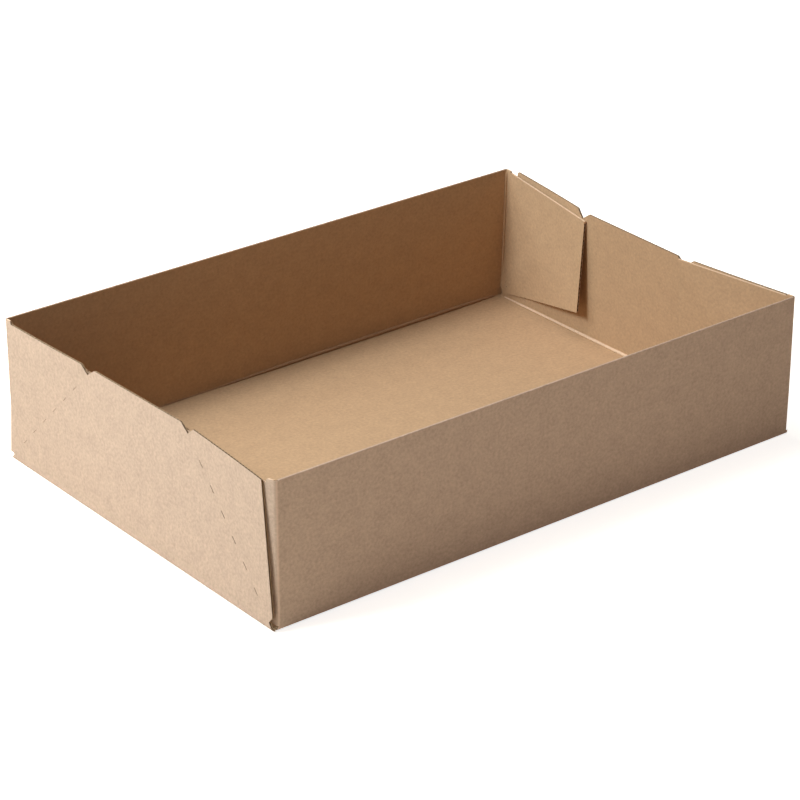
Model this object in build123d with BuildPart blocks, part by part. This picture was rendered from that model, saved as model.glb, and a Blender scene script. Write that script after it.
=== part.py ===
"""Open tray folded and glued from one die-cut sheet of fine-flute corrugated board.

The origin is under the middle of the base, X runs along the long walls and +Z points up. The long
walls carry on round the corners as flaps. Each end wall stands outside two flaps, glued to them by
the triangles beyond its diagonal creases, and its middle leans in because the corners spring back.
Front and back are alike, so the back half is modelled and then mirrored.
"""

import os
from math import asin, atan, cos, degrees, radians, sin, sqrt, tan

from build123d import *

# Overall sizes, outside, in millimetres
LENGTH = 446.2  # over the two end walls at the base
WIDTH = 303.0  # over the two long walls at the base
HEIGHT = 103.0  # long walls, from the underside of the base
END_HEIGHT = 102.0  # end walls, measured along their own slope

# The board and its folds
BOARD = 1.5  # thickness of the board
FOLD_RADIUS = 2.0  # outer radius of a right-angled fold
RIDGE_RADIUS = 1.7  # ridge of crushed board along the inside of a fold
RIDGE_SINK = 0.6  # how deep the ridge is merged into the two faces
RIDGE_STOP = 4.0  # where the ridge stops short of the end of its fold
END_RIDGE_STOP = 10.0  # the same at an end wall's base fold, so the flaps pass above it

# How the folded tray stands
LEFT_LEAN = 3.3  # inward lean of the left end wall's middle, in degrees
RIGHT_LEAN = 7.1  # inward lean of the right end wall's middle, in degrees
END_STANDOFF = 3.1  # outer face of an end wall beyond the corner fold of the long wall
FLAP_CLEARANCE = 0.25  # between a flap and the end wall's inner face, where they come closest

# Corner flaps
CORNER_GAP = 1.0  # cut between the top of the base fold and the start of the corner fold
CORNER_SLIT = 0.5  # half the cut between the long wall and the end wall at the base
EAR_WIDTH = 6.5  # full-height part of the flap next to its fold
EAR_STEP = 1.7  # drop from the ear to the flap's own top edge
EAR_SLANT = 1.2  # run of the short slope below the ear
FLAP_LENGTH = 101.0  # reach of the flap's upper free corner
FLAP_TOP_TAPER = 3.1  # fall of the top edge towards the free end, in degrees
FLAP_BOTTOM_TAPER = 11.6  # rise of the bottom edge towards the free end, in degrees
FLAP_END_TAPER = 4.9  # slope of the free end back towards the fold, in degrees

# End walls
TIP_INSET = 0.5  # end of the base crease, from the tray's corner
RELIEF_REACH = 5.0  # apex of the V cut where the diagonal meets the base corner
RELIEF_HEIGHT = 10.0  # top of that V cut
SIDE_INSET = 11.3  # upper outer corner of the end wall, from the tray's corner
NOTCH_DEPTH = 5.5  # V notch where a diagonal reaches the top edge
NOTCH_HALF_WIDTH = 7.0

# Perforation along the diagonal creases
SLIT_LENGTH = 9.0
SLIT_WIDTH = 0.5
SLIT_PITCH = 17.5

# Glue between a flap and its triangle
GLUE_RADIUS = 9.0
GLUE_ALONG = 0.48  # place of the dab, as a share of the notch's distance from the corner
GLUE_UP = 0.80  # and of the end wall's height

# Values that follow from the sizes
wall_length = LENGTH - 2 * END_STANDOFF
notch_reach = END_HEIGHT - NOTCH_DEPTH  # a notch's apex, along and up the end wall
corner_x = wall_length / 2 - FOLD_RADIUS  # centre line of a corner fold
wall_end = wall_length / 2 - CORNER_SLIT
half_width = WIDTH / 2


def closing_lean(end_lean):
    """Lean of a long wall that lets its glued corner close, for an end wall's lean in degrees."""
    return 90 - 2 * degrees(atan(cos(radians(end_lean))))


LONG_LEAN = (closing_lean(LEFT_LEAN) + closing_lean(RIGHT_LEAN)) / 2


def run_in(turn):
    """Distance from the sharp corner of two outer faces to where a fold of this turn begins."""
    return FOLD_RADIUS * tan(radians(turn) / 2)


corner_start = run_in(90 + LONG_LEAN) + CORNER_GAP


def flap_lean(end_lean):
    """Lean of a flap that passes close to the end wall's inner face at the notch, or at its own end."""
    reach = min(FLAP_LENGTH, notch_reach)
    inner_face = reach * sin(radians(end_lean)) + BOARD - END_STANDOFF
    return degrees(asin((inner_face + FLAP_CLEARANCE) / reach))


def fold(start, turn, length, first_stop=RIDGE_STOP, last_stop=RIDGE_STOP):
    """Bend of the board about the plane's origin, from its x axis through turn, and its ridge."""
    inner_radius = FOLD_RADIUS - BOARD
    with BuildSketch(start) as sector:
        with BuildLine():
            outer_arc = CenterArc((0, 0), FOLD_RADIUS, 0, turn)
            inner_arc = CenterArc((0, 0), inner_radius, 0, turn)
            Line(inner_arc @ 0, outer_arc @ 0)
            Line(inner_arc @ 1, outer_arc @ 1)
        make_face()
    extrude(sector.sketch, amount=length)
    # The ridge fills the inner corner, on the far side of the bend's centre
    half_opening = radians(180 - turn) / 2
    reach = (RIDGE_RADIUS - RIDGE_SINK - inner_radius) / sin(half_opening)
    middle = radians(turn) / 2
    with BuildSketch(start.offset(first_stop)) as ridge:
        with Locations((-reach * cos(middle), -reach * sin(middle))):
            Circle(RIDGE_RADIUS)
    extrude(ridge.sketch, amount=length - first_stop - last_stop)


def panel(face, outline, depth):
    """Flat piece of board, from its outline on the plane of its outer face."""
    with BuildSketch(face) as shape:
        with BuildLine():
            Polyline(*outline, close=True)
        make_face()
    extrude(shape.sketch, amount=depth)


def both_ways(right_side):
    """Closed outline from its right-hand points, going round to their mirror images."""
    return right_side + [(-x, y) for x, y in reversed(right_side)]


def long_wall_face():
    """Outer face of the back long wall: x along the wall, y up its slope, z into the tray."""
    lean = radians(LONG_LEAN)
    up = Vector(0, -sin(lean), cos(lean))
    outward = Vector(0, cos(lean), sin(lean))
    bend = Vector(0, half_width - FOLD_RADIUS, FOLD_RADIUS)
    foot = bend + outward * FOLD_RADIUS - up * run_in(90 + LONG_LEAN)
    return Plane(origin=foot, x_dir=(1, 0, 0), z_dir=-outward)


def end_wall_face(side, end_lean):
    """Outer face of an end wall's middle: x along +Y, y up its slope from the base crease."""
    lean = radians(end_lean)
    up = Vector(-side * sin(lean), 0, cos(lean))
    outward = Vector(side * cos(lean), 0, sin(lean))
    bend = Vector(side * (LENGTH / 2 - FOLD_RADIUS), 0, FOLD_RADIUS)
    foot = bend + outward * FOLD_RADIUS - up * run_in(90 + end_lean)
    return Plane(origin=foot, x_dir=(0, 1, 0), z_dir=Vector(0, 1, 0).cross(up))


def triangle_face(side, end_lean):
    """Outer face of the triangle at the back corner: x along the wall, y straight up."""
    lean = atan(sin(radians(end_lean)))
    along = Vector(-side * sin(lean), -cos(lean), 0)
    corner = end_wall_face(side, end_lean).from_local_coords((half_width, 0, 0))
    return Plane(origin=corner, x_dir=along, z_dir=along.cross(Vector(0, 0, 1)))


def crease_point(distance, end_lean):
    """Point of the diagonal on the triangle's face, at this distance along and up the wall."""
    lean = radians(end_lean)
    return (distance * sqrt(1 + sin(lean) ** 2), distance * cos(lean))


def corner_flap(side, end_lean):
    """Corner fold and flap at the +X (side 1) or -X (side -1) end of the back long wall."""
    wall = long_wall_face()
    up, outward, sideways = wall.y_dir, -wall.z_dir, wall.x_dir * side
    lean = flap_lean(end_lean)
    turn = 90 + lean
    start_height = HEIGHT if side > 0 else corner_start
    bend = wall.from_local_coords((side * corner_x, start_height, FOLD_RADIUS))
    fold(Plane(origin=bend, x_dir=outward, z_dir=up * -side), turn, HEIGHT - corner_start)

    along = outward * -cos(radians(lean)) - sideways * sin(radians(lean))
    face_normal = sideways * cos(radians(lean)) - outward * sin(radians(lean))
    bend_foot = wall.from_local_coords((side * corner_x, 0, FOLD_RADIUS))
    foot = bend_foot + face_normal * FOLD_RADIUS - along * run_in(turn)
    flap_top = HEIGHT - EAR_STEP
    end_top = flap_top - (FLAP_LENGTH - EAR_WIDTH) * tan(radians(FLAP_TOP_TAPER))
    # The sloping free end meets the rising bottom edge
    rise, slope = tan(radians(FLAP_BOTTOM_TAPER)), tan(radians(FLAP_END_TAPER))
    end_bottom = (corner_start + rise * (FLAP_LENGTH - slope * end_top)) / (1 - rise * slope)
    outline = [
        (run_in(turn), corner_start + rise * run_in(turn)),
        (run_in(turn), HEIGHT),
        (EAR_WIDTH, HEIGHT),
        (EAR_WIDTH + EAR_SLANT, flap_top),
        (FLAP_LENGTH, end_top),
        (FLAP_LENGTH - slope * (end_top - end_bottom), end_bottom),
    ]
    panel(Plane(origin=foot, x_dir=along, z_dir=along.cross(up)), outline, side * BOARD)


def mitred(face, outline, depth, mitre):
    """Flat piece of board cut off at a plane whose normal points into the piece."""
    with BuildPart() as piece:
        panel(face, outline, depth)
        split(bisect_by=mitre, keep=Keep.TOP)
    return piece.part


def half_end_wall(side, end_lean):
    """Back half of an end wall: base fold, leaning middle, triangle, corner cut, notch and slits."""
    middle, triangle = end_wall_face(side, end_lean), triangle_face(side, end_lean)
    crease = (middle.y_dir - middle.x_dir).normalized()
    between = (middle.z_dir - triangle.z_dir) * side
    to_middle = crease.cross(between) * -side
    start = run_in(90 + end_lean)
    spare = BOARD  # board beyond the diagonal, which the mitre takes off again

    middle_outline = [
        (0, start),
        (half_width - start + spare, start),
        (half_width - END_HEIGHT + spare, END_HEIGHT),
        (0, END_HEIGHT),
    ]
    middle_mitre = Plane(origin=triangle.origin, x_dir=crease, z_dir=to_middle)
    middle_piece = mitred(middle, middle_outline, -side * BOARD, middle_mitre)

    crease_x, crease_top = crease_point(END_HEIGHT, end_lean)
    foot_height = RELIEF_REACH / 2
    side_slope = (SIDE_INSET - TIP_INSET) / (END_HEIGHT - RELIEF_HEIGHT)
    triangle_outline = [
        (TIP_INSET - side_slope * (RELIEF_HEIGHT - foot_height), foot_height),
        (foot_height + spare, foot_height),
        (crease_x + spare, crease_top),
        (SIDE_INSET, END_HEIGHT),
    ]
    triangle_mitre = Plane(origin=triangle.origin, x_dir=crease, z_dir=-to_middle)
    triangle_piece = mitred(triangle, triangle_outline, side * BOARD, triangle_mitre)

    crease_length = sqrt(2) * (notch_reach - RELIEF_REACH)
    slit_count = int((crease_length - SLIT_PITCH) // SLIT_PITCH)
    crease_middle = (notch_reach + RELIEF_REACH) / 2
    fold_end = half_width - TIP_INSET
    with BuildPart() as wall:
        add(middle_piece)
        add(triangle_piece)
        bend = (side * (LENGTH / 2 - FOLD_RADIUS), max(side, 0) * fold_end, FOLD_RADIUS)
        stops = (END_RIDGE_STOP, 0) if side > 0 else (0, END_RIDGE_STOP)
        fold(Plane(origin=bend, x_dir=(0, 0, -1), z_dir=(0, -side, 0)), 90 + end_lean, fold_end, *stops)
        with BuildSketch(middle):
            # V cut that frees the triangle from the base corner
            with BuildLine():
                Polyline(
                    (half_width - TIP_INSET, 0),
                    (half_width - RELIEF_REACH, RELIEF_REACH),
                    (half_width - TIP_INSET, RELIEF_HEIGHT),
                    (half_width + BOARD, RELIEF_HEIGHT),
                    (half_width + BOARD, 0),
                    close=True,
                )
            make_face()
            # Notch in the top edge, drawn on above it
            notch_y = half_width - notch_reach
            open_width = NOTCH_HALF_WIDTH * (1 + BOARD / NOTCH_DEPTH)
            with BuildLine():
                Polyline(
                    (notch_y, notch_reach),
                    (notch_y - open_width, END_HEIGHT + BOARD),
                    (notch_y + open_width, END_HEIGHT + BOARD),
                    close=True,
                )
            make_face()
            with Locations(Location((half_width - crease_middle, crease_middle, 0), (0, 0, -45))):
                with GridLocations(SLIT_PITCH, 0, slit_count, 1):
                    Rectangle(SLIT_LENGTH, SLIT_WIDTH)
        extrude(amount=3 * BOARD, both=True, mode=Mode.SUBTRACT)
    return wall.part


def glue_dab(side, end_lean):
    """Bond between a flap and its triangle, from the middle of one board to the other."""
    along = GLUE_ALONG * notch_reach
    triangle_lean = atan(sin(radians(end_lean)))
    gap = END_STANDOFF - BOARD + along * (sin(radians(flap_lean(end_lean))) - sin(triangle_lean))
    start = triangle_face(side, end_lean).offset(side * BOARD / 2)
    with BuildSketch(start) as dab:
        with Locations((along, GLUE_UP * END_HEIGHT)):
            Circle(GLUE_RADIUS)
    extrude(dab.sketch, amount=side * (gap + BOARD))


ends = ((-1, LEFT_LEAN), (1, RIGHT_LEAN))
half_walls = [half_end_wall(side, end_lean) for side, end_lean in ends]

with BuildPart() as back_half:
    # Base, with a small tab beside each corner that carries the end fold
    tab_start = wall_length / 2 + CORNER_SLIT
    base_x, base_y = LENGTH / 2 - FOLD_RADIUS, half_width - FOLD_RADIUS
    with BuildSketch():
        with BuildLine():
            Polyline(
                *both_ways(
                    [
                        (base_x, 0),
                        (base_x, half_width - TIP_INSET),
                        (tab_start, half_width - TIP_INSET),
                        (tab_start, base_y),
                        (wall_end, base_y),
                    ]
                ),
                close=True,
            )
        make_face()
    extrude(amount=BOARD)

    # Long wall with its base fold
    long_fold = Plane(origin=(-wall_end, base_y, FOLD_RADIUS), x_dir=(0, 0, -1), z_dir=(1, 0, 0))
    fold(long_fold, 90 + LONG_LEAN, 2 * wall_end)
    wall_start = run_in(90 + LONG_LEAN)
    wall_outline = [
        (wall_end, wall_start),
        (wall_end, corner_start),
        (corner_x, corner_start),
        (corner_x, HEIGHT),
    ]
    panel(long_wall_face(), both_ways(wall_outline), BOARD)

    for (side, end_lean), half_wall in zip(ends, half_walls):
        corner_flap(side, end_lean)
        add(half_wall)
        glue_dab(side, end_lean)

with BuildPart() as tray:
    add(back_half.part)
    mirror(back_half.part, about=Plane.XZ)

tray.part.label = "tray"
os.makedirs("parts", exist_ok=True)
export_step(tray.part, "parts/tray.step")
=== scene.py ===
"""Open cardboard tray, as real corrugated board: two liners and the fluted paper between them.

The board is laid out panel by panel in millimetres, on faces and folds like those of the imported
part. Each face also shifts its points a little along X, as the springy board in the photo does.
side is -1 for the left end and 1 for the right one; half is -1 for the front and 1 for the back.
"""

from functools import lru_cache
from math import asin, atan, ceil, cos, degrees, exp, floor, log, pi, radians, sin, sqrt, tan

import bmesh
import bpy
from mathutils import Matrix, Vector
from mathutils.geometry import delaunay_2d_cdt


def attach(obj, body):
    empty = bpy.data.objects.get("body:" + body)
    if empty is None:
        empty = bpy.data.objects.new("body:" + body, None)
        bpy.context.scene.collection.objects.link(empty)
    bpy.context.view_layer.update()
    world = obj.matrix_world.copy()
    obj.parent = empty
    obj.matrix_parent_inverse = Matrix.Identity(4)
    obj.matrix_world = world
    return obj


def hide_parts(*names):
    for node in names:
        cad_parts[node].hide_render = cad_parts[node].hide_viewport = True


MM = 0.001
SIDES = (-1, 1)
HALVES = (-1, 1)
CORNERS = [(side, half) for side in SIDES for half in HALVES]
X_AXIS, Y_AXIS, Z_AXIS = Vector((1, 0, 0)), Vector((0, 1, 0)), Vector((0, 0, 1))

# Sizes of the tray, nearly as in the part, in millimetres and degrees
WALL_LENGTH = 440.0
WIDTH = 303.0
HEIGHT = 103.0
END_HEIGHT = 101.9
BOARD = 1.5
FOLD_RADIUS = 2.0
CORNER_GAP = 1.0
CORNER_SLIT = 0.5
TIP_INSET = 0.5
RIGHT_FOLD_INSET = 0.2

# Corner flaps: an ear beside the fold, and a lower edge that is a little torn
EAR_WIDTH = 6.5
EAR_SLANT = 1.2
FLAP_LENGTH = 102.0
FLAP_BOTTOM_TAPER = 12.0
TORN_EDGE = 0.45
TORN_EDGE_CUTS = 70
TORN_EDGE_WAVES = (1.9, 0.61)

# End walls: a diagonal from the relief cut at the corner to the notch in the rim, slit in places
RELIEF_REACH = 5.0
NOTCH_REACH = 96.5
NOTCH_ON_TRIANGLE = 6.7
NOTCH_ON_MIDDLE = 7.5
SIDE_INSET = 9.3
SLIT_LENGTH = 5.5
SLIT_PITCH = 17.5

# Glue dabs, placed by shares of the notch's reach and of the end wall's height
GLUE_RADIUS = 9.0
GLUE_ALONG = 0.48
GLUE_UP = 0.80
GLUE_SEGMENTS = 24

# How each end stands in the photograph, by side
LEAN = {-1: 3.15, 1: 3.5}
STANDOFF = {-1: 2.65, 1: -3.29}
BASE_YAW = {-1: 1.28, 1: -0.54}
RIM_YAW = {-1: -3.67, 1: 3.91}

# What differs from corner to corner, by (side, half)
TRIANGLE_FLARE = {(-1, -1): 0.012, (-1, 1): -0.003, (1, -1): 0.051, (1, 1): 0.105}
CORNER_FOOT = {(-1, -1): 0.0, (-1, 1): 0.0, (1, -1): 0.48, (1, 1): -1.28}
CORNER_HEAD = {(-1, -1): 0.07, (-1, 1): -0.27, (1, -1): 0.0, (1, 1): 0.92}
EAR_STEP = {(-1, -1): 3.0, (-1, 1): 3.0, (1, -1): 1.2, (1, 1): 1.2}
FLAP_TOP_TAPER = {(-1, -1): 1.4, (-1, 1): 1.6, (1, -1): 0.7, (1, 1): 3.6}
FLAP_END_TAPER = {(-1, -1): 3.6, (-1, 1): 3.6, (1, -1): 3.6, (1, 1): 0.5}
FLAP_TWIST = {(-1, -1): 0.0, (-1, 1): 0.0, (1, -1): 0.0, (1, 1): 3.8}
SLIT_WIDTH = {(-1, -1): 0.7, (-1, 1): 0.3, (1, -1): 0.3, (1, 1): 0.3}
RELIEF_HEIGHT = {(-1, -1): 10.0, (-1, 1): 5.5, (1, -1): 10.0, (1, 1): 10.0}

# Base and rims are each twisted a little, so that two opposite corners stand up
BASE_TWIST = 0.69
RIM_TWIST = 0.12

# Height over which a long wall goes from the base's shift to the corner's own
FOOT_HEIGHT = 4.0

# A flap lies just inside its end wall, and gives way softly where the wall would press on it
FLAP_CLEARANCE = 0.3
PRESS_SOFTNESS = 0.4
CORNER_PRESS = 4.0
CORNER_PRESS_REACH = 6.0

# Share of the gap between flap and triangle that the glue closes, in full from GLUED_REACH on.
# Below the diagonal it fades out over UNGLUED_DEPTH.
GLUED_CLOSE = {(-1, -1): 1.0, (-1, 1): 0.0, (1, -1): 0.0, (1, 1): 0.0}
GLUED_REACH = 9.0
UNGLUED_DEPTH = 25.0

# The paper of the board
LINER = 0.22
MEDIUM = 0.2
FLUTE_PITCH = 3.4
FLUTE_STEPS = 8

# Cuts along the flutes, by panel, and the room that the fluting leaves at narrow places
LONG_CUTS = 8
FLAP_CUTS = 20
END_CUTS = 4
SHORTEST_FLUTE = 0.01
TAB_STRIP = 1.0
TIP_CLEARANCE = 0.1

# Crushed strip along a rim: how far below it its two edges are, and its share of a flap's rim
RIM_CRUSH = (1.2, -0.3)
RIM_CRUSH_REACH = {-1: 0.9, 1: 1.0}
RIM_CRUSH_CUTS = 12

# Ridges inside the folds: centre above the first and second face, radius, length over which an end
# thins out, how much the flutes below show as waves, and growth of the thickness along the fold
LONG_RIDGE = (1.1, 0.5, 1.2, 60.0, 0.0, 0.0012)
CORNER_RIDGE = (0.5, 0.5, 0.9, 5.0, 0.02, 0.0)
END_RIDGE = (0.9, 0.8, 1.25, 30.0, 0.03, -0.0022)

# Where they start and stop; a long one, by half, stays thin up to the place where it swells
LONG_RIDGE_START = -215.5
LONG_RIDGE_SWELLS = {-1: -215.5, 1: -45.0}
RIDGE_STOP = 4.0
END_RIDGE_STOP = 6.0
RIDGE_TOP_STOP = 1.0

# Thickness of a ridge's very end as a share of the whole, and its slow and fine unevenness
RIDGE_THIN = 0.35
RIDGE_SWAY = 0.05
RIDGE_SWAY_LENGTHS = (5.3, 17.1)
RIDGE_GRAIN = 0.03
RIDGE_GRAIN_LENGTH = 1.9

# Widths of a fold and of a ridge on the blank
FOLD_ON_BLANK = 3
RIDGE_ON_BLANK = 7

# Mesh spacing: edges and insides of the panels, rows round a fold, rings along a ridge
EDGE_STEP = 8.0
PANEL_STEP = 10.0
FLAP_STEP = 5.0
FOLD_ROWS = 10
RIDGE_STEP = 1.2
RIDGE_SEGMENTS = 14
SMALLEST_AREA = 1e-3
ROUNDING = 1e-6
SHARP_ANGLE = 32

# Triangles are kept inside the outline only
CDT_INSIDE = 1
CDT_EPSILON = 1e-5

# Points in one cell are welded: cells in a millimetre, and an offset off the round sizes
WELD_CELLS = 20
WELD_OFFSET = 0.37

# Kraft paper: each layer's scale, detail, roughness and contrast, and the shares of two of them
CLOUDS = (90, 3, 0.6, 0.85)
MOTTLE = (460, 2, 0.5, 0.9)
FIBRES = (700, 3, 0.7, 1.0)
FIBRE_STRETCH = (1.0, 3.0, 1.0)
MOTTLE_SHARE = 0.62
FIBRE_SHARE = 0.3
PATTERN_DARK = 0.36
PATTERN_LIGHT = 0.64
PATTERN_SHIFT = 0.7
PAPER_ROUGHNESS = 0.88
PAPER_SPECULAR = 0.25
BUMP_STRENGTH = 0.25
BUMP_DISTANCE = 0.0003

# Painted highlight: the outer paper is paler along the corner folds, where the fold edges catch the
# light: share, width, place in the fold and gain
FOLD_HIGHLIGHT = 0.45
FOLD_HIGHLIGHT_WIDTH = 0.9
FOLD_HIGHLIGHT_PLACE = 1
FOLD_HIGHLIGHT_GAIN = 1.45

# Camera, solved from the photograph's corners
FOCAL_PIXELS = 2969.7
IMAGE_PIXELS = 800
SENSOR_WIDTH = 36
CAMERA_PLACE = Vector((-1148.38, -1420.27, 916.69 + BASE_TWIST)) * MM
CAMERA_FORWARD = Vector((0.565122, 0.70088, -0.435205))
CAMERA_ROLL = 0.212

# Lamps: place, aim, size, power and colour
LAMPS = {
    "key": ((-0.95, 0.23, 0.95), (0, 0, 0.05), 0.45, 14.7, (0.89, 1.03, 1.1)),
    "back": ((-0.8, 0.8, 0.9), (0, 0, 0.05), 0.5, 4.0, (0.9, 1.06, 1.12)),
    "top": ((-0.15, 0.45, 1.35), (0, 0, 0.05), 1.1, 11.5, (1.0, 0.97, 0.95)),
    "front": ((-0.05, -0.95, 0.15), (0, -0.15, 0.05), 0.25, 1.0, (1.0, 0.93, 0.86)),
}
WORLD_COLOUR = (1.0, 0.95, 0.9, 1)
WORLD_STRENGTH = 0.13

# Floor: white to the camera, with the tray's shadow kept
FLOOR_REACH = 6.0
FLOOR_COLOUR = (0.9, 0.82, 0.69, 1)
FLOOR_GLOW_COLOUR = (1, 1, 1, 1)
FLOOR_GLOW = 0.8

HALF_LENGTH = WALL_LENGTH / 2
HALF_WIDTH = WIDTH / 2
CORNER_X = HALF_LENGTH - FOLD_RADIUS
WALL_END = HALF_LENGTH - CORNER_SLIT
BASE_Y = HALF_WIDTH - FOLD_RADIUS
FOLD_END = {-1: HALF_WIDTH - TIP_INSET, 1: BASE_Y - RIGHT_FOLD_INSET}


def twisted(point):
    """The twist of the whole tray, for a point of the folded form."""
    across = point.x / HALF_LENGTH
    along = point.y / HALF_WIDTH
    up = min(max(point.z / HEIGHT, 0), 1)
    twist = across * along * (BASE_TWIST + (RIM_TWIST - BASE_TWIST) * up)
    return point + Vector((0, 0, BASE_TWIST + twist))


def closing_lean(end_lean):
    """Lean of a long wall that lets the corner close beside an end wall of this lean."""
    return 90 - 2 * degrees(atan(cos(radians(end_lean))))


LONG_LEAN = (closing_lean(LEAN[-1]) + closing_lean(LEAN[1])) / 2


def run_in(turn):
    """From the sharp corner of two outer faces to where a fold of this turn begins."""
    return FOLD_RADIUS * tan(radians(turn) / 2)


WALL_START = run_in(90 + LONG_LEAN)
CORNER_START = WALL_START + CORNER_GAP


class Face:
    """Plane of a panel's outer face: two directions in it, outward normal and shift along X."""

    def __init__(self, origin, across, up, outward, shift):
        self.origin, self.across, self.up = origin, across, up
        self.outward, self.shift = outward, shift

    def place(self, point, depth):
        """Where a point of the panel is, at this depth in the board."""
        spot = self.origin + self.across * point[0] + self.up * point[1] - self.outward * depth
        return spot + X_AXIS * self.shift(point)


class Bend:
    """Fold about an axis: start is the outward direction where it begins, onward where it goes."""

    def __init__(self, centre, axis, start, onward, turn, shift):
        self.centre, self.axis, self.start, self.onward = centre, axis, start, onward
        self.turn, self.shift = radians(turn), shift

    def at(self, along, share, radius):
        angle = share * self.turn
        spot = self.centre + self.axis * along
        spot += (self.start * cos(angle) + self.onward * sin(angle)) * radius
        return spot + X_AXIS * self.shift((along, share))

    def place(self, point, depth):
        """point is the place along the axis and the share of the turn."""
        return self.at(point[0], point[1], FOLD_RADIUS - depth)


class Zone:
    """Piece of the sheet laid out flat: points and faces, and what places and unfolds a point."""

    def __init__(self, points, faces, place, blank):
        self.points, self.faces, self.place, self.blank = points, faces, place, blank


def base_x(side):
    """Centre line of the fold below an end wall, from the middle of the tray."""
    return HALF_LENGTH + STANDOFF[side] - FOLD_RADIUS


def base_shift(point):
    side = 1 if point[0] > 0 else -1
    return BASE_YAW[side] * abs(point[0]) / HALF_LENGTH * point[1] / HALF_WIDTH


def corner_shift(side, half, height):
    foot, head = CORNER_FOOT[side, half], CORNER_HEAD[side, half]
    return foot + (head - foot) * height / HEIGHT


def wall_shift(half, x, height):
    """From the base's shift at the fold to the corner's own a little above it."""
    side = 1 if x > 0 else -1
    floor_part = BASE_YAW[side] * half
    above = corner_shift(side, half, height) - floor_part
    part = floor_part + above * min(1, height / FOOT_HEIGHT)
    return part * abs(x) / HALF_LENGTH


def end_shift(side, y, height):
    return (BASE_YAW[side] + RIM_YAW[side] * height / END_HEIGHT) * y / HALF_WIDTH


def long_centre(half):
    return Vector((0, half * BASE_Y, FOLD_RADIUS))


def end_centre(side):
    return Vector((side * base_x(side), 0, FOLD_RADIUS))


def corner_centre(side, half):
    wall = wall_face(half)
    return wall.origin + wall.across * side * CORNER_X - wall.outward * FOLD_RADIUS


@lru_cache(maxsize=None)
def floor_face():
    return Face(Vector(), X_AXIS, Y_AXIS, -Z_AXIS, base_shift)


@lru_cache(maxsize=None)
def wall_face(half):
    lean = radians(LONG_LEAN)
    up = Vector((0, -half * sin(lean), cos(lean)))
    outward = Vector((0, half * cos(lean), sin(lean)))
    foot = long_centre(half) + outward * FOLD_RADIUS - up * WALL_START
    return Face(foot, X_AXIS, up, outward, lambda p: wall_shift(half, p[0], p[1]))


@lru_cache(maxsize=None)
def middle_face(side):
    lean = radians(LEAN[side])
    up = Vector((-side * sin(lean), 0, cos(lean)))
    outward = Vector((side * cos(lean), 0, sin(lean)))
    foot = end_centre(side) + outward * FOLD_RADIUS - up * run_in(90 + LEAN[side])
    return Face(foot, Y_AXIS, up, outward, lambda p: end_shift(side, p[0], p[1]))


def crease_point(distance, side):
    """Point of the diagonal on the triangle's face, at this distance along and up the wall."""
    lean = radians(LEAN[side])
    return Vector((distance * sqrt(1 + sin(lean) ** 2), distance * cos(lean)))


@lru_cache(maxsize=None)
def triangle_face(side, half):
    lean = atan(sin(radians(LEAN[side])))
    along = Vector((-side * sin(lean), -half * cos(lean), 0))
    outward = Vector((side * cos(lean), -half * sin(lean), 0))
    middle = middle_face(side)
    corner = middle.origin + middle.across * half * HALF_WIDTH
    stretch = crease_point(1, side)

    def shift(point):
        """The crease's own shift, and the triangle's flare above it."""
        reach = point[0] / stretch.x
        above = point[1] - reach * stretch.y
        crease = end_shift(side, half * (HALF_WIDTH - reach), reach)
        return crease + side * TRIANGLE_FLARE[side, half] * above

    return Face(corner, along, Z_AXIS, outward, shift)


def room(side, half, reach, height):
    """How far out the end wall's inner face is, at a place along and up the wall."""
    if height <= reach:
        spot = middle_face(side).place((half * (HALF_WIDTH - reach), height), BOARD)
    else:
        along = reach * crease_point(1, side).x
        spot = triangle_face(side, half).place((along, height), BOARD)
    return side * spot.x


@lru_cache(maxsize=None)
def flap_lean(side, half):
    """Lean of a flap that passes close to the end wall's inner face at the notch."""
    corner = HALF_LENGTH + side * corner_shift(side, half, NOTCH_REACH)
    inward = corner - room(side, half, NOTCH_REACH, NOTCH_REACH) + FLAP_CLEARANCE
    return degrees(asin(inward / NOTCH_REACH))


def press(side, half, reach, height):
    """How far a flap gives way inward: by its twist, and where the end wall presses on it.

    The wall presses less beside the corner fold. Glue draws the flap outward instead."""
    twist = FLAP_TWIST[side, half] * reach / FLAP_LENGTH * max(0, 1 - height / NOTCH_REACH)
    plain = HALF_LENGTH - reach * sin(radians(flap_lean(side, half))) - twist
    plain += side * corner_shift(side, half, height)
    wall = room(side, half, reach, height)
    limit = wall + CORNER_PRESS * exp(-reach / CORNER_PRESS_REACH)
    below_diagonal = max(0, reach - height)
    close = GLUED_CLOSE[side, half] * min(1, reach / GLUED_REACH)
    close *= exp(-below_diagonal / UNGLUED_DEPTH)
    drawn = close * max(0, wall - FLAP_CLEARANCE - plain)
    return twist + PRESS_SOFTNESS * log(1 + exp((plain - limit) / PRESS_SOFTNESS)) - drawn


@lru_cache(maxsize=None)
def flap_face(side, half):
    wall, lean = wall_face(half), radians(flap_lean(side, half))
    sideways = X_AXIS * side
    along = wall.outward * -cos(lean) - sideways * sin(lean)
    outward = sideways * cos(lean) - wall.outward * sin(lean)
    start = run_in(90 + flap_lean(side, half))
    foot = corner_centre(side, half) + outward * FOLD_RADIUS - along * start

    def shift(point):
        return corner_shift(side, half, point[1]) - side * press(side, half, *point)

    return Face(foot, along, wall.up, outward, shift)


@lru_cache(maxsize=None)
def corner_bend(side, half):
    wall, turn = wall_face(half), 90 + flap_lean(side, half)

    def shift(point):
        height, share = point
        hinge = wall_shift(half, side * HALF_LENGTH, height)
        return hinge - side * share * press(side, half, FOLD_RADIUS, height)

    return Bend(corner_centre(side, half), wall.up, wall.outward, X_AXIS * side, turn, shift)


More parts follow.
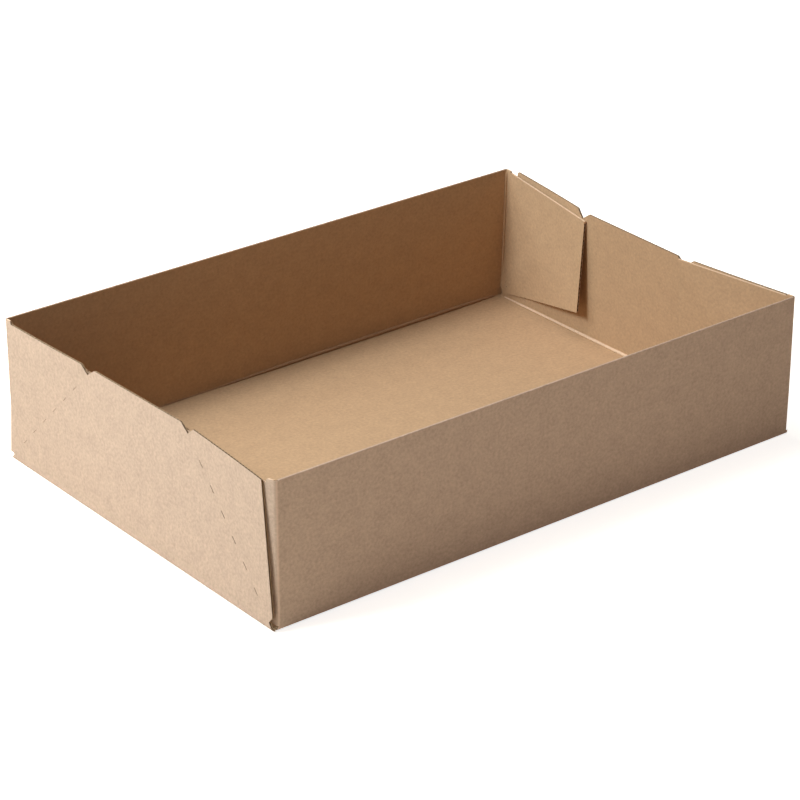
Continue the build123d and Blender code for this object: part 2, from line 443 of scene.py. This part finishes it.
@lru_cache(maxsize=None)
def long_bend(half):
    def shift(point):
        return wall_shift(half, point[0], point[1] * FOLD_RADIUS)

    return Bend(long_centre(half), X_AXIS, -Z_AXIS, Y_AXIS * half, 90 + LONG_LEAN, shift)


@lru_cache(maxsize=None)
def end_bend(side):
    def shift(point):
        return end_shift(side, point[0], 0)

    return Bend(end_centre(side), Y_AXIS, -Z_AXIS, X_AXIS * side, 90 + LEAN[side], shift)


# Where a point lies on the blank, for each panel and fold
def base_blank(point):
    return point


def wall_blank(half):
    return lambda p: (p[0], half * (HALF_WIDTH + p[1]))


def flap_blank(side, half):
    return lambda p: (side * (HALF_LENGTH + p[0]), half * (HALF_WIDTH + p[1]))


def middle_blank(side):
    edge = base_x(side) + FOLD_RADIUS
    return lambda p: (side * (edge + p[1]), p[0])


def triangle_blank(side, half):
    edge = base_x(side) + FOLD_RADIUS
    return lambda p: (side * (edge + p[1]), half * (HALF_WIDTH - p[0]))


def long_fold_blank(half, width):
    return lambda p: (p[0], half * (BASE_Y + width * p[1]))


def corner_fold_blank(side, half, width):
    return lambda p: (side * (CORNER_X + width * p[1]), half * (HALF_WIDTH + p[0]))


def end_fold_blank(side, width):
    return lambda p: (side * (base_x(side) + width * p[1]), p[0])


def spread(start, end, count):
    """Evenly spaced places from start to end, both included."""
    return [start + (end - start) * i / count for i in range(count + 1)]


def pairs(ring):
    """Each item of a closed ring with the next one."""
    return zip(ring, ring[1:] + ring[:1])


def edge_cuts(length):
    """Number of steps along an edge of this length."""
    return max(1, ceil(length / EDGE_STEP - ROUNDING))


def divided(corners):
    """Closed outline with its edges divided; the cuts depend only on an edge's own length."""
    points = []
    for a, b in pairs(corners):
        a, b = Vector(a), Vector(b)
        count = edge_cuts((b - a).length)
        points += [a.lerp(b, i / count) for i in range(count)]
    return points


def stations(start, end):
    """The places that divided() puts on an edge of this length."""
    return spread(start, end, edge_cuts(abs(end - start)))


def matching(start, end, others):
    """As many places as there are others."""
    return spread(start, end, len(others) - 1)


def inside(point, outline, margin):
    """True if the point is within the outline and at least margin away from its edges."""
    crossings = 0
    for a, b in pairs(outline):
        edge, offset = b - a, point - a
        share = min(max(offset.dot(edge) / edge.length_squared, 0), 1)
        if (offset - edge * share).length < margin:
            return False
        if (a.y > point.y) != (b.y > point.y):
            crossings += point.x < a.x + edge.x * (point.y - a.y) / edge.y
    return crossings % 2 == 1


def panel_zone(corners, face, blank, step=PANEL_STEP):
    """Triangles over a flat panel: its divided outline and a grid of points inside it."""
    outline = divided(corners)
    margin = step / 3
    low = Vector((min(p.x for p in outline), min(p.y for p in outline)))
    high = Vector((max(p.x for p in outline), max(p.y for p in outline)))
    columns, rows = (max(2, ceil(size / step)) for size in high - low)
    points = list(outline)
    for x in spread(low.x, high.x, columns)[1:-1]:
        for y in spread(low.y, high.y, rows)[1:-1]:
            if inside(Vector((x, y)), outline, margin):
                points.append(Vector((x, y)))
    ring = [list(range(len(outline)))]
    found = delaunay_2d_cdt(points, [], ring, CDT_INSIDE, CDT_EPSILON, False)
    spots, triangles = found[0], found[2]
    kept = []
    for triangle in triangles:
        a, b, c = (spots[i] for i in triangle)
        if (b - a).cross(c - a) > SMALLEST_AREA and inside((a + b + c) / 3, outline, 0):
            kept.append(tuple(triangle))
    return Zone(list(spots), kept, face.place, blank)


def grid_faces(rows, columns):
    faces = []
    for row in range(rows - 1):
        for column in range(columns - 1):
            first = row * columns + column
            faces.append((first, first + 1, first + columns + 1, first + columns))
    return faces


def bend_zone(first_edge, last_edge, bend, blank):
    """Grid round a fold, between the stations on the panel before it and on the one after it."""
    points = []
    for row in range(FOLD_ROWS + 1):
        share = row / FOLD_ROWS
        points += [Vector((a + (b - a) * share, share)) for a, b in zip(first_edge, last_edge)]
    return Zone(points, grid_faces(FOLD_ROWS + 1, len(first_edge)), bend.place, blank)


def make_object(name, verts, faces, uvs, material):
    """Mesh object from points in millimetres, with blank coordinates in metres as its UV map."""
    mesh = bpy.data.meshes.new(name)
    mesh.from_pydata([twisted(v) * MM for v in verts], [], faces)
    layer = mesh.uv_layers.new(name="blank")
    for loop in mesh.loops:
        layer.data[loop.index].uv = Vector(uvs[loop.vertex_index]) * MM
    build = bmesh.new()
    build.from_mesh(mesh)
    bmesh.ops.recalc_face_normals(build, faces=build.faces)
    build.to_mesh(mesh)
    build.free()
    mesh.polygons.foreach_set("use_smooth", [True] * len(mesh.polygons))
    mesh.set_sharp_from_angle(angle=radians(SHARP_ANGLE))
    mesh.materials.append(material)
    piece = bpy.data.objects.new(name, mesh)
    bpy.context.scene.collection.objects.link(piece)
    return piece


def joined(name, parts, material):
    """One object from parts that each have their own points, faces and blank coordinates."""
    verts, faces, uvs = [], [], []
    for part_verts, part_faces, part_uvs in parts:
        faces += [tuple(len(verts) + i for i in face) for face in part_faces]
        verts += part_verts
        uvs += part_uvs
    return make_object(name, verts, faces, uvs, material)


def welded(zones):
    """One surface from all zones: for each vertex where its zones put it, and the faces."""
    index, vertices, uvs, faces = {}, [], [], []
    for zone in zones:
        numbers = []
        for point in zone.points:
            key = tuple(floor(c * WELD_CELLS + WELD_OFFSET) for c in zone.place(point, 0))
            if key not in index:
                index[key] = len(vertices)
                vertices.append([])
                uvs.append(zone.blank(point))
            vertices[index[key]].append((zone.place, point))
            numbers.append(index[key])
        faces += [tuple(numbers[i] for i in face) for face in zone.faces]
    return vertices, uvs, faces


def shell(name, surface, near, far, material):
    """Closed sheet of paper between two depths in the board."""
    vertices, uvs, faces = surface
    verts = []
    for depth in (near, far):
        for makers in vertices:
            spots = [place(point, depth) for place, point in makers]
            verts.append(sum(spots, Vector()) / len(spots))
    count = len(vertices)
    edges = {}
    for face in faces:
        for a, b in pairs(face):
            edges.setdefault(frozenset((a, b)), []).append((a, b))
    rim = [uses[0] for uses in edges.values() if len(uses) == 1]
    all_faces = list(faces) + [tuple(count + i for i in reversed(face)) for face in faces]
    all_faces += [(b, a, count + a, count + b) for a, b in rim]
    return make_object(name, verts, all_faces, uvs + uvs, material)


def sheet(near, far, uvs, columns):
    """Part that is a closed sheet between two grids of points."""
    count = len(near)
    rows = count // columns
    faces = []
    for a, b, c, d in grid_faces(rows, columns):
        faces.append((a, b, c, d))
        faces.append((count + d, count + c, count + b, count + a))
    ring = list(range(columns))
    ring += [row * columns + columns - 1 for row in range(1, rows)]
    ring += [(rows - 1) * columns + column for column in range(columns - 2, -1, -1)]
    ring += [row * columns for row in range(rows - 2, 0, -1)]
    for a, b in pairs(ring):
        faces.append((b, a, count + a, count + b))
    return near + far, faces, uvs + uvs


def slit_spans():
    """Start and end of each slit of the diagonal, as distances along and up the end wall."""
    crease_length = sqrt(2) * (NOTCH_REACH - RELIEF_REACH)
    count = int((crease_length - SLIT_PITCH) // SLIT_PITCH)
    middle = (NOTCH_REACH + RELIEF_REACH) / 2
    half_slit = SLIT_LENGTH / 2 / sqrt(2)
    spans = []
    for i in range(count):
        centre = middle + (i - (count - 1) / 2) * SLIT_PITCH / sqrt(2)
        spans.append((centre - half_slit, centre + half_slit))
    return spans


def crease_path(on_face, inward, slit_width):
    """The diagonal from the relief's apex to the notch's, stepping aside for half of every slit."""
    path = [on_face(RELIEF_REACH)]
    for start, end in slit_spans():
        aside = inward * slit_width / 2
        path += [on_face(start), on_face(start) + aside, on_face(end) + aside, on_face(end)]
    return path + [on_face(NOTCH_REACH)]


def middle_outline(side):
    start = run_in(90 + LEAN[side])
    apex = HALF_WIDTH - RELIEF_REACH
    cut_end = FOLD_END[side] + (apex - FOLD_END[side]) * start / RELIEF_REACH
    notch = HALF_WIDTH - NOTCH_REACH - NOTCH_ON_MIDDLE
    outline = []
    for half in (1, -1):
        inward = Vector((-half, -1)).normalized()
        path = [Vector((half * cut_end, start))]
        path += crease_path(
            lambda t, h=half: Vector((h * (HALF_WIDTH - t), t)), inward, SLIT_WIDTH[side, half]
        )
        path.append(Vector((half * notch, END_HEIGHT)))
        outline += path[::half]
    return outline, cut_end


def triangle_outline(side, half):
    inward = Vector((-1, 1)).normalized()
    outline = crease_path(lambda t: crease_point(t, side), inward, SLIT_WIDTH[side, half])
    outline.append(Vector((crease_point(NOTCH_REACH, side).x - NOTCH_ON_TRIANGLE, END_HEIGHT)))
    outline.append(Vector((SIDE_INSET, END_HEIGHT)))
    outline.append(Vector((TIP_INSET, RELIEF_HEIGHT[side, half])))
    return outline


def flap_outline(side, half):
    start = run_in(90 + flap_lean(side, half))
    top = HEIGHT - EAR_STEP[side, half]
    end_top = top - (FLAP_LENGTH - EAR_WIDTH) * tan(radians(FLAP_TOP_TAPER[side, half]))
    rise, slope = tan(radians(FLAP_BOTTOM_TAPER)), tan(radians(FLAP_END_TAPER[side, half]))
    end_bottom = CORNER_START + rise * (FLAP_LENGTH - slope * end_top)
    end_bottom /= 1 - rise * slope
    outline = [
        Vector((start, CORNER_START + rise * start)),
        Vector((start, HEIGHT)),
        Vector((EAR_WIDTH, HEIGHT)),
        Vector((EAR_WIDTH + EAR_SLANT, top)),
        Vector((FLAP_LENGTH, end_top)),
        Vector((FLAP_LENGTH - slope * (end_top - end_bottom), end_bottom)),
    ]
    first_wave, second_wave = TORN_EDGE_WAVES
    for place in spread(outline[-1].x, start, TORN_EDGE_CUTS)[1:-1]:
        torn = TORN_EDGE * sin(place * first_wave + half) * sin(place * second_wave + side)
        outline.append(Vector((place, CORNER_START + rise * place + torn)))
    return outline


def base_outline(places):
    """The base, with a tab beside each corner of an end that stands outside the long walls."""
    tab = HALF_LENGTH + CORNER_SLIT
    outline = []
    for half in (1, -1):
        path = [(base_x(1), half * FOLD_END[1])]
        path += [(x, half * BASE_Y) for x in reversed(places) if x <= base_x(1)]
        path += [(-tab, half * BASE_Y), (-tab, half * FOLD_END[-1])]
        path.append((-base_x(-1), half * FOLD_END[-1]))
        outline += path[::half]
    return outline


def wall_outline(places):
    ends = [(WALL_END, CORNER_START), (CORNER_X, CORNER_START), (CORNER_X, HEIGHT)]
    return [(x, WALL_START) for x in places] + ends + [(-x, v) for x, v in reversed(ends)]


def flap_zones(side, half):
    """A corner fold and the flap beyond it."""
    flap = flap_outline(side, half)
    first = stations(CORNER_START, HEIGHT)
    last = matching(flap[0].y, HEIGHT, first)
    outline = [Vector((flap[0].x, v)) for v in last] + flap[2:]
    blank = corner_fold_blank(side, half, FOLD_ON_BLANK)
    fold = bend_zone(first, last, corner_bend(side, half), blank)
    return fold, panel_zone(outline, flap_face(side, half), flap_blank(side, half), FLAP_STEP)


def middle_zones(side):
    """The fold below an end wall, and the wall between its diagonals."""
    middle, cut_end = middle_outline(side)
    first = stations(-FOLD_END[side], FOLD_END[side])
    last = matching(-cut_end, cut_end, first)
    outline = [Vector((y, middle[0].y)) for y in last] + middle[1:-1]
    fold = bend_zone(first, last, end_bend(side), end_fold_blank(side, FOLD_ON_BLANK))
    return fold, panel_zone(outline, middle_face(side), middle_blank(side))


def board_zones():
    """Every panel and fold of the sheet, and the folds alone."""
    places = sorted(stations(-WALL_END, WALL_END) + [base_x(1)])
    zones = [panel_zone(base_outline(places), floor_face(), base_blank)]
    folds = []
    for half in HALVES:
        fold = bend_zone(places, places, long_bend(half), long_fold_blank(half, FOLD_ON_BLANK))
        zones += [fold, panel_zone(wall_outline(places), wall_face(half), wall_blank(half))]
        folds.append(fold)
        for side in SIDES:
            fold, panel = flap_zones(side, half)
            zones += [fold, panel]
            folds.append(fold)
    for side in SIDES:
        fold, panel = middle_zones(side)
        zones += [fold, panel]
        folds.append(fold)
        for half in HALVES:
            face, blank = triangle_face(side, half), triangle_blank(side, half)
            zones.append(panel_zone(triangle_outline(side, half), face, blank))
    return zones, folds


def wave_depth(across):
    swing = (BOARD - 2 * LINER - MEDIUM) / 2
    return BOARD / 2 + swing * sin(2 * pi * across / FLUTE_PITCH)


def flutes(low, high, span, cuts, face, blank, upright=False):
    """Fluted paper of one panel: rows across the flutes, each with its own start and end.

    The flutes run along the panel, or up it where they are upright."""
    count = max(2, ceil((high - low) * FLUTE_STEPS / FLUTE_PITCH))
    near, far, uvs = [], [], []
    for across in spread(low, high, count):
        depth = wave_depth(across)
        start, end = span(across)
        for along in spread(start, end, cuts):
            point = (across, along) if upright else (along, across)
            near.append(face.place(point, depth - MEDIUM / 2))
            far.append(face.place(point, depth + MEDIUM / 2))
            uvs.append(blank(point))
    return sheet(near, far, uvs, cuts + 1)


def base_span(y):
    """Beside the long folds, the base's flutes start where the walls do."""
    left = -base_x(-1) if abs(y) < BASE_Y - TAB_STRIP else -WALL_END
    return left, base_x(1)


def wall_span(_):
    return -CORNER_X, CORNER_X


def flap_span(side, half):
    corners = flap_outline(side, half)
    start, top, end_top = corners[0].x, corners[3].y, corners[4].y
    end_bottom_x, end_bottom = corners[5]
    rise = tan(radians(FLAP_BOTTOM_TAPER))
    taper = tan(radians(FLAP_TOP_TAPER[side, half]))

    def span(v):
        if v > top:
            return start, EAR_WIDTH + EAR_SLANT * (HEIGHT - v) / (HEIGHT - top)
        share_up = (FLAP_LENGTH - end_bottom_x) * (v - end_bottom) / (end_top - end_bottom)
        below_top = EAR_WIDTH + EAR_SLANT + (top - v) / taper
        above_bottom = (v - CORNER_START - TORN_EDGE) / rise
        end = min(end_bottom_x + share_up, below_top, above_bottom)
        return start, max(start + SHORTEST_FLUTE, end)

    return span


def middle_span(side):
    start = run_in(90 + LEAN[side])

    def span(y):
        reach = HALF_WIDTH - abs(y)
        past = min(1, (reach - NOTCH_REACH) / NOTCH_ON_MIDDLE)
        high = reach if past < 0 else NOTCH_REACH + past * (END_HEIGHT - NOTCH_REACH)
        return start, high

    return span


def triangle_span(side, half):
    relief = RELIEF_HEIGHT[side, half]
    slope = (SIDE_INSET - TIP_INSET) / (END_HEIGHT - relief)
    stretch = crease_point(1, side)
    apex = NOTCH_REACH * stretch.y

    def span(u):
        low = u * stretch.y / stretch.x
        if u < RELIEF_REACH:
            drop = (u - TIP_INSET) * (relief - RELIEF_REACH) / (RELIEF_REACH - TIP_INSET)
            low = relief - drop
        high = min(END_HEIGHT, relief + (u - TIP_INSET) / slope)
        notch = (NOTCH_REACH * stretch.x - u) / NOTCH_ON_TRIANGLE
        high = min(high, apex + notch * (END_HEIGHT - apex))
        return low, max(low + SHORTEST_FLUTE, high)

    return span


def fluting():
    """All fluted paper, one closed sheet for each panel."""
    parts = [flutes(-BASE_Y, BASE_Y, base_span, LONG_CUTS, floor_face(), base_blank)]
    for half in HALVES:
        wall, blank = wall_face(half), wall_blank(half)
        parts.append(flutes(WALL_START, HEIGHT, wall_span, LONG_CUTS, wall, blank))
        for side in SIDES:
            start = run_in(90 + flap_lean(side, half))
            low = CORNER_START + tan(radians(FLAP_BOTTOM_TAPER)) * start + 2 * TORN_EDGE
            span, flap = flap_span(side, half), flap_face(side, half)
            parts.append(flutes(low, HEIGHT, span, FLAP_CUTS, flap, flap_blank(side, half)))
    reach = HALF_WIDTH - RELIEF_REACH
    for side in SIDES:
        span, middle, blank = middle_span(side), middle_face(side), middle_blank(side)
        parts.append(flutes(-reach, reach, span, END_CUTS, middle, blank, upright=True))
        low, high = TIP_INSET + TIP_CLEARANCE, NOTCH_REACH * crease_point(1, side).x
        for half in HALVES:
            span, triangle = triangle_span(side, half), triangle_face(side, half)
            blank = triangle_blank(side, half)
            parts.append(flutes(low, high, span, END_CUTS, triangle, blank, upright=True))
    return parts


def crushed(zones, rows):
    """Crushed fluting between the liners, over zones whose points are a grid of so many rows."""
    parts = []
    for zone in zones:
        near = [zone.place(p, LINER) for p in zone.points]
        far = [zone.place(p, BOARD - LINER) for p in zone.points]
        uvs = [zone.blank(p) for p in zone.points]
        parts.append(sheet(near, far, uvs, len(uvs) // rows))
    return parts


def wall_rims():
    """The crushed edge of the board along the rims of the long walls, which run with the flutes."""
    zones = []
    for half in HALVES:
        places = stations(-CORNER_X, CORNER_X)
        points = [Vector((x, HEIGHT - drop)) for drop in RIM_CRUSH for x in places]
        zones.append(Zone(points, [], wall_face(half).place, wall_blank(half)))
    return zones


def flap_rims():
    """The same along the ear and the top edge of each flap."""
    zones = []
    for side, half in CORNERS:
        corners = flap_outline(side, half)
        shares = spread(0, RIM_CRUSH_REACH[side], RIM_CRUSH_CUTS)
        for a, b in (corners[1:3], corners[3:5]):
            spots = [a.lerp(b, share) for share in shares]
            points = [spot - Vector((0, drop)) for drop in RIM_CRUSH for spot in spots]
            zones.append(Zone(points, [], flap_face(side, half).place, flap_blank(side, half)))
    return zones


def tube_sides(rings, segments):
    """Faces round a tube of rings of points."""
    faces = []
    for ring in range(rings - 1):
        for i in range(segments):
            a, b = ring * segments + i, ring * segments + (i + 1) % segments
            faces.append((a, b, b + segments, a + segments))
    return faces


def ridge(bend, start, end, kind, blank, swells=None):
    """Rounded bead of crushed board along the inside corner of a fold, thinning out at its ends.

    It stays thin up to the place where it swells."""
    first_lift, second_lift, radius, taper, flute_imprint, growth = kind
    thin_until = start if swells is None else swells
    inner_radius = FOLD_RADIUS - BOARD
    count = ceil(abs(end - start) / RIDGE_STEP)
    onto = bend.start * cos(bend.turn) + bend.onward * sin(bend.turn)
    verts, uvs = [], []
    for along in spread(start, end, count):
        to_end = max(0, min(along - start, along - thin_until, end - along)) / taper
        swell = RIDGE_THIN + (1 - RIDGE_THIN) * min(1, to_end) ** 0.5
        swell *= 1 + growth * along
        slow_length, slower_length = RIDGE_SWAY_LENGTHS
        sway = RIDGE_SWAY * sin(along / slow_length) * sin(along / slower_length)
        swell += sway + RIDGE_GRAIN * sin(along / RIDGE_GRAIN_LENGTH)
        swell += flute_imprint * sin(2 * pi * along / FLUTE_PITCH)
        lift = bend.start * (inner_radius - first_lift * swell)
        lift += onto * (inner_radius - second_lift * swell)
        centre = bend.at(along, 0.5, 0) + lift
        for i in range(RIDGE_SEGMENTS):
            angle = 2 * pi * i / RIDGE_SEGMENTS
            spoke = bend.start * cos(angle) + bend.onward * sin(angle)
            verts.append(centre + spoke * radius * swell)
            uvs.append(blank((along, i / RIDGE_SEGMENTS)))
    first_end = tuple(range(RIDGE_SEGMENTS))
    last_end = tuple(count * RIDGE_SEGMENTS + i for i in reversed(first_end))
    return verts, tube_sides(count + 1, RIDGE_SEGMENTS) + [first_end, last_end], uvs


def long_ridges():
    """Ridges of the folds below the long walls."""
    parts = []
    last = base_x(1) - RIDGE_STOP
    for half in HALVES:
        bend, blank = long_bend(half), long_fold_blank(half, RIDGE_ON_BLANK)
        swells = LONG_RIDGE_SWELLS[half]
        parts.append(ridge(bend, LONG_RIDGE_START, last, LONG_RIDGE, blank, swells))
    return parts


def corner_ridges():
    """Ridges of the folds between the long walls and their flaps."""
    parts = []
    low, high = CORNER_START + RIDGE_STOP, HEIGHT - RIDGE_TOP_STOP
    for side, half in CORNERS:
        blank = corner_fold_blank(side, half, RIDGE_ON_BLANK)
        parts.append(ridge(corner_bend(side, half), low, high, CORNER_RIDGE, blank))
    return parts


def end_ridges():
    """Ridges of the folds below the end walls."""
    parts = []
    for side in SIDES:
        end = FOLD_END[side] - END_RIDGE_STOP
        blank = end_fold_blank(side, RIDGE_ON_BLANK)
        parts.append(ridge(end_bend(side), -end, end, END_RIDGE, blank))
    return parts


def glue_dabs():
    """Flat dabs between each flap and its triangle."""
    along, up = GLUE_ALONG * NOTCH_REACH, GLUE_UP * END_HEIGHT
    angles = [2 * pi * i / GLUE_SEGMENTS for i in range(GLUE_SEGMENTS)]
    spots = [(along + GLUE_RADIUS * cos(a), up + GLUE_RADIUS * sin(a)) for a in angles]
    first_end = tuple(reversed(range(GLUE_SEGMENTS)))
    last_end = tuple(GLUE_SEGMENTS + i for i in range(GLUE_SEGMENTS))
    faces = tube_sides(2, GLUE_SEGMENTS) + [first_end, last_end]
    parts = []
    for side, half in CORNERS:
        verts = [flap_face(side, half).place(spot, 0) for spot in spots]
        verts += [triangle_face(side, half).place(spot, BOARD) for spot in spots]
        parts.append((verts, faces, spots + spots))
    return parts


def feed(tree, fed, inputs):
    """Set a node's inputs, or link them where the value is another node's output."""
    for name, value in inputs.items():
        if isinstance(value, bpy.types.NodeSocket):
            tree.links.new(value, fed.inputs[name])
        else:
            fed.inputs[name].default_value = value


def node(tree, kind, inputs, **settings):
    made = tree.nodes.new(kind)
    for name, value in settings.items():
        setattr(made, name, value)
    feed(tree, made, inputs)
    return made


def noise(tree, source, scale, detail, roughness, contrast):
    """Noise whose contrast is scaled about its middle."""
    inputs = {"Vector": source, "Scale": scale, "Detail": detail, "Roughness": roughness}
    texture = node(tree, "ShaderNodeTexNoise", inputs)
    inputs = {0: texture.outputs["Fac"], 1: contrast, 2: 0.5 - contrast / 2}
    return node(tree, "ShaderNodeMath", inputs, operation="MULTIPLY_ADD").outputs[0]


def blend(tree, kind, first, second, factor):
    inputs = {"A": first, "B": second, "Factor": factor}
    return node(tree, "ShaderNodeMix", inputs, data_type=kind).outputs["Result"]


def kraft_pattern(tree, uv, offset):
    """Cloudy formation, fine flecks and fibres, by the blank's coordinates."""
    inputs = {"Vector": uv, "Location": (offset, offset * PATTERN_SHIFT, 0)}
    place = node(tree, "ShaderNodeMapping", inputs).outputs["Vector"]
    inputs = {"Vector": place, "Scale": FIBRE_STRETCH}
    fibre_place = node(tree, "ShaderNodeMapping", inputs).outputs["Vector"]
    clouds = noise(tree, place, *CLOUDS)
    mottle = noise(tree, place, *MOTTLE)
    fibres = noise(tree, fibre_place, *FIBRES)
    flecked = blend(tree, "FLOAT", clouds, mottle, MOTTLE_SHARE)
    return blend(tree, "FLOAT", flecked, fibres, FIBRE_SHARE)


def painted_fold_highlight(tree, uv, highlight_share):
    """Share of the painted highlight along the corner folds, by the place on the blank."""
    reach = node(tree, "ShaderNodeSeparateXYZ", {0: uv}).outputs["X"]
    fold = (CORNER_X + FOLD_HIGHLIGHT_PLACE) * MM
    for operation, value in (("ABSOLUTE", 0), ("SUBTRACT", fold), ("ABSOLUTE", 0)):
        step = node(tree, "ShaderNodeMath", {0: reach, 1: value}, operation=operation)
        reach = step.outputs[0]
    inputs = {"Value": reach, "From Max": FOLD_HIGHLIGHT_WIDTH * MM, "To Min": highlight_share, "To Max": 0}
    return node(tree, "ShaderNodeMapRange", inputs).outputs["Result"]


def kraft(name, colour, dark, offset, highlight_share=0.0):
    """Uncoated kraft paper, with a painted highlight along the corner folds where a share of it is
    given.
    """
    material = bpy.data.materials.new(name)
    material.use_nodes = True
    tree = material.node_tree
    uv = node(tree, "ShaderNodeUVMap", {}, uv_map="blank").outputs["UV"]
    pattern = kraft_pattern(tree, uv, offset)
    inputs = {"Value": pattern, "From Min": PATTERN_DARK, "From Max": PATTERN_LIGHT}
    light = node(tree, "ShaderNodeMapRange", inputs).outputs["Result"]
    paper = blend(tree, "RGBA", (*dark, 1), (*colour, 1), light)
    # Painted highlight: paler paper along the corner folds, where the fold edges catch the light
    if highlight_share:
        highlight_colour = (*(channel * FOLD_HIGHLIGHT_GAIN for channel in colour), 1)
        paper = blend(tree, "RGBA", paper, highlight_colour, painted_fold_highlight(tree, uv, highlight_share))
    inputs = {"Height": pattern, "Strength": BUMP_STRENGTH, "Distance": BUMP_DISTANCE}
    bump = node(tree, "ShaderNodeBump", inputs)
    inputs = {
        "Base Color": paper,
        "Roughness": PAPER_ROUGHNESS,
        "Specular IOR Level": PAPER_SPECULAR,
        "Normal": bump.outputs["Normal"],
    }
    feed(tree, tree.nodes["Principled BSDF"], inputs)
    return material


def add_camera():
    data = bpy.data.cameras.new("camera")
    data.sensor_width = SENSOR_WIDTH
    data.lens = SENSOR_WIDTH * FOCAL_PIXELS / IMAGE_PIXELS
    camera = bpy.data.objects.new("camera", data)
    turned = CAMERA_FORWARD.to_track_quat("-Z", "Y").to_matrix().to_4x4()
    roll = Matrix.Rotation(radians(CAMERA_ROLL), 4, "Z")
    camera.matrix_world = Matrix.Translation(CAMERA_PLACE) @ turned @ roll
    scene.collection.objects.link(camera)
    scene.camera = camera


def soft_lamp(name, place, aim, size, power, colour):
    lamp = bpy.data.objects.new(name, bpy.data.lights.new(name, "AREA"))
    lamp.data.shape = "DISK"
    lamp.data.size = size
    lamp.data.energy = power
    lamp.data.color = colour
    lamp.location = place
    lamp.rotation_euler = (Vector(aim) - Vector(place)).to_track_quat("-Z", "Y").to_euler()
    scene.collection.objects.link(lamp)


def add_world():
    world = bpy.data.worlds.new("studio")
    scene.world = world
    world.use_nodes = True
    inputs = {"Color": WORLD_COLOUR, "Strength": WORLD_STRENGTH}
    feed(world.node_tree, world.node_tree.nodes["Background"], inputs)


def floor_white():
    """Pale floor that is lifted to white for the camera alone."""
    material = bpy.data.materials.new("floor_white")
    material.use_nodes = True
    tree = material.node_tree
    seen = node(tree, "ShaderNodeLightPath", {}).outputs["Is Camera Ray"]
    lift = node(tree, "ShaderNodeMath", {0: seen, 1: FLOOR_GLOW}, operation="MULTIPLY")
    inputs = {
        "Base Color": FLOOR_COLOUR,
        "Emission Color": FLOOR_GLOW_COLOUR,
        "Emission Strength": lift.outputs[0],
    }
    feed(tree, tree.nodes["Principled BSDF"], inputs)
    return material


def add_floor():
    mesh = bpy.data.meshes.new("floor")
    x = y = FLOOR_REACH
    mesh.from_pydata([(-x, -y, 0), (x, -y, 0), (x, y, 0), (-x, y, 0)], [], [(0, 1, 2, 3)])
    mesh.materials.append(floor_white())
    piece = bpy.data.objects.new("floor", mesh)
    scene.collection.objects.link(piece)
    return piece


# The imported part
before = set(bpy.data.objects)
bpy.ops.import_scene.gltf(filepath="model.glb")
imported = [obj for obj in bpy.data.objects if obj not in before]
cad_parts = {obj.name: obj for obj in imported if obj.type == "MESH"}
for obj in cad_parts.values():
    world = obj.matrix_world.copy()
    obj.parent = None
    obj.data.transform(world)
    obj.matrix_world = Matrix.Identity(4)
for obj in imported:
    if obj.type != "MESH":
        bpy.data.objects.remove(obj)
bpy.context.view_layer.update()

# Papers: light and dark colour, and where their patterns start
# The outer paper carries a painted highlight along the corner folds
outer_paper = kraft("kraft_outer", (0.622, 0.432, 0.319), (0.436, 0.302, 0.222), 0.0, FOLD_HIGHLIGHT)
inner_paper = kraft("kraft_inner", (0.548, 0.343, 0.194), (0.413, 0.258, 0.146), 3.1)
# Dark paper for the fluting, fold cores and glue dabs: painted shade, standing in for the dark
# hollows seen at the board's cut edges
shaded_flute_paper = kraft("kraft_fluting_painted_shade", (0.26, 0.165, 0.095), (0.17, 0.105, 0.06), 5.7)
# Darker paper for the ridges along the long folds: painted shade, as these beads lie in the long
# walls' shade
shaded_crease_paper = kraft("kraft_crease_painted_shade", (0.43, 0.25, 0.14), (0.32, 0.185, 0.105), 9.1)
# Paler paper for the crushed flap rims and the end ridges: a painted highlight, where these edges
# face the light
lit_edge_paper = kraft("kraft_edge_painted_highlight", (0.80, 0.56, 0.38), (0.64, 0.44, 0.29), 7.9)

zones, folds = board_zones()
surface = welded(zones)
board = [
    shell("outer_liner", surface, 0, LINER, outer_paper),
    shell("inner_liner", surface, BOARD - LINER, BOARD, inner_paper),
    # Fluting, fold cores and glue dabs in dark paper, painted shade
    joined("fluting", fluting(), shaded_flute_paper),
    joined("fold_core", crushed(folds, FOLD_ROWS + 1), shaded_flute_paper),
    joined("wall_rims", crushed(wall_rims(), len(RIM_CRUSH)), outer_paper),
    # Flap rims in paler paper, a painted highlight
    joined("flap_rims", crushed(flap_rims(), len(RIM_CRUSH)), lit_edge_paper),
    # Long ridges in darker paper, painted shade
    joined("long_ridges", long_ridges(), shaded_crease_paper),
    joined("corner_ridges", corner_ridges(), inner_paper),
    # End ridges in paler paper, a painted highlight
    joined("end_ridges", end_ridges(), lit_edge_paper),
    joined("glue_dabs", glue_dabs(), shaded_flute_paper),
]
for piece in board:
    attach(piece, "root")
    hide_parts("tray")

scene = bpy.context.scene
scene.view_settings.view_transform = "Standard"
add_camera()
for name, lamp in LAMPS.items():
    soft_lamp(name, *lamp)
add_world()
floor_object = add_floor()
